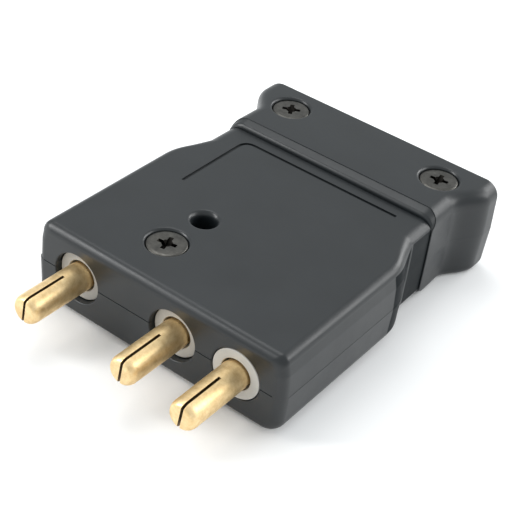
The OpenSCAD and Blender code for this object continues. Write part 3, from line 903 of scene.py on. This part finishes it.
def bush(name):
    """A collar with its flange."""
    flange = -bush_l - bush_flange_l
    curve = quarter_round(bush_round_steps)
    outline = [(bush_inner_r, flange), (bush_flange_r, flange), (bush_flange_r, -bush_l), (bush_r, -bush_l)]
    outline += [(bush_r - bush_round * (1 - cos), -bush_round * (1 - sin)) for sin, cos in curve]
    outline += [(bush_inner_r + bush_round * (1 - sin), -bush_round * (1 - cos)) for sin, cos in curve]
    piece = turned(name + "_collar", outline, bush_face(name), forward)
    stand_for(paint(piece, bush_grey), name + "_pin_bush")


for contact in contacts:
    bush(contact)


# Screws
# Flat-headed machine screws in dark nickel plate, rounded at the edge, with a cross recess whose walls carry
# a near-black painted shade.
# One holds the housing together and two pull the clamp shut, each stopped at its own turn.
head_round_h = 0.5 * mm
head_flat_r = 5.1 * mm
cross_half = 3.2 * mm
cross_half_w = 0.75 * mm
cross_depth = 1.9 * mm
cross_floor_share = 0.55
cross_mouth_share = 1.25
cross_core_r = 1.8 * mm
cross_core_depth = 2.4 * mm
screw_edge = 0.1 * mm
screw_turns_deg = {"body_screw": 13, "left_clamp_screw": 27, "right_clamp_screw": 9}
nickel = make_turned_metal(
    "dark_nickel", dark=(0.062, 0.0605, 0.056), light=(0.122, 0.118, 0.108), rough=(0.3, 0.42),
    lines_per_metre=300.0)
# painted shade: near black for the walls of the cross recesses
recess_painted_shade = make_turned_metal(
    "recess_painted_shade", dark=(0.012, 0.011, 0.01), light=(0.03, 0.027, 0.024), rough=(0.4, 0.55),
    lines_per_metre=300.0)


def cross_recess(top, turn):
    """Two crossed wings that narrow downwards and a tapered core, to cut into a head's top and give the
    recess painted shade.
    """
    cutters = []
    for angle in (turn, turn + math.pi / 2):
        along = Vector((math.cos(angle), math.sin(angle), 0))
        across = Vector((-math.sin(angle), math.cos(angle), 0))
        rings = []
        for level, share in ((-cross_depth, cross_floor_share), (over, cross_mouth_share)):
            corners = [a * cross_half * share * along + b * cross_half_w * across for a, b in square]
            rings.append([top + corner + Vector((0, 0, level)) for corner in corners])
        cutters.append(loft("wing", rings))
    outline = [(0, -cross_core_depth), (cross_half_w, -cross_core_depth), (cross_core_r, 0),
               (cross_core_r, over), (0, over)]
    cutters.append(turned("core", outline, top, upward))
    # the cutters pass their painted shade on to the recess walls
    return [paint(cutter, recess_painted_shade) for cutter in cutters]


def cross_screw(name):
    """A screw in its hole, with its recess at its own turn."""
    low, high = screws[name]
    head_top = high.z + head_raises[name]
    seat = screw_place(name, head_top - head_h)
    end = low.z - seat.z
    outline = [(0, end), (screw_r, end), (screw_r, 0), (head_r, 0)]
    outline += [(head_flat_r + (head_r - head_flat_r) * cos, head_h - head_round_h * (1 - sin))
                for sin, cos in quarter_round(round_steps)]
    outline.append((0, head_h))
    piece = paint(turned(name + "_piece", outline, seat, upward), nickel)
    recess = cross_recess(screw_place(name, head_top), math.radians(screw_turns_deg[name]))
    combine(piece, recess, "DIFFERENCE")
    bevel_sharp(piece, screw_edge)
    stand_for(piece, name)


for screw in screws:
    cross_screw(screw)


# Set screws and threaded inserts
# Small steel set screws hold the conductors in the barrels, and brass inserts in the lower halves take the
# screws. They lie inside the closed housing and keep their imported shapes.
set_screw_steel = make_turned_metal(
    "set_screw_steel", dark=(0.25, 0.24, 0.23), light=(0.38, 0.37, 0.36), rough=(0.3, 0.45),
    lines_per_metre=500.0)
inner_finishes = {"wire_screws": set_screw_steel, "insert": brass}
for node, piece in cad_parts.items():
    for ending, finish in inner_finishes.items():
        if node.endswith(ending):
            paint(piece, finish)


# Studio
# A wide pale floor, soft lights from the left, right, back and top under an even pale sky, and the camera
# where the photograph was taken from.
floor_half = 4.0
floor_white = (0.95, 0.95, 0.95)
floor_rough = 0.8
sky_colour = (0.95, 0.985, 1.0, 1.0)
sky_strength = 0.83
eye = Vector((182.2, -274.3, 263.3)) * mm
aim = Vector((1.7, 0.7, 16.0)) * mm
roll = math.radians(7.17)
lens_mm = 90.4

bpy.ops.object.select_all(action="DESELECT")
bpy.ops.mesh.primitive_plane_add(size=2 * floor_half)
floor = bpy.context.active_object
floor.name = "floor"
floor.data.materials.append(new_material("pale_floor", floor_white, floor_rough)[0])


def area_light(name, place, width, height, power):
    """An upright soft light at place, pointing at the plug."""
    bpy.ops.object.light_add(type="AREA", location=place)
    light = bpy.context.active_object
    light.name = name
    light.data.shape = "RECTANGLE"
    light.data.size = width
    light.data.size_y = height
    light.data.energy = power
    light.rotation_euler = (aim - Vector(place)).to_track_quat("-Z", "Y").to_euler()


area_light("left_softbox", place=(-0.85, -0.66, 0.68), width=0.3, height=0.9, power=10.0)
area_light("right_softbox", place=(0.85, 0.79, 0.59), width=0.6, height=0.6, power=5.2)
area_light("back_softbox", place=(0.29, 1.14, 0.55), width=0.5, height=0.5, power=4.8)
area_light("top_softbox", place=(-0.44, 0.3, 1.2), width=0.6, height=0.6, power=3.2)

world = bpy.data.worlds.new("studio")
world.use_nodes = True
sky = world.node_tree.nodes["Background"]
sky.inputs["Color"].default_value = sky_colour
sky.inputs["Strength"].default_value = sky_strength
bpy.context.scene.world = world
bpy.context.scene.view_settings.view_transform = "Standard"

bpy.ops.object.camera_add(location=eye)
camera = bpy.context.active_object
camera.data.lens = lens_mm
turn = (aim - eye).to_track_quat("-Z", "Y").to_matrix().to_4x4() @ Matrix.Rotation(roll, 4, "Z")
camera.matrix_world = Matrix.Translation(eye) @ turn
bpy.context.scene.camera = camera
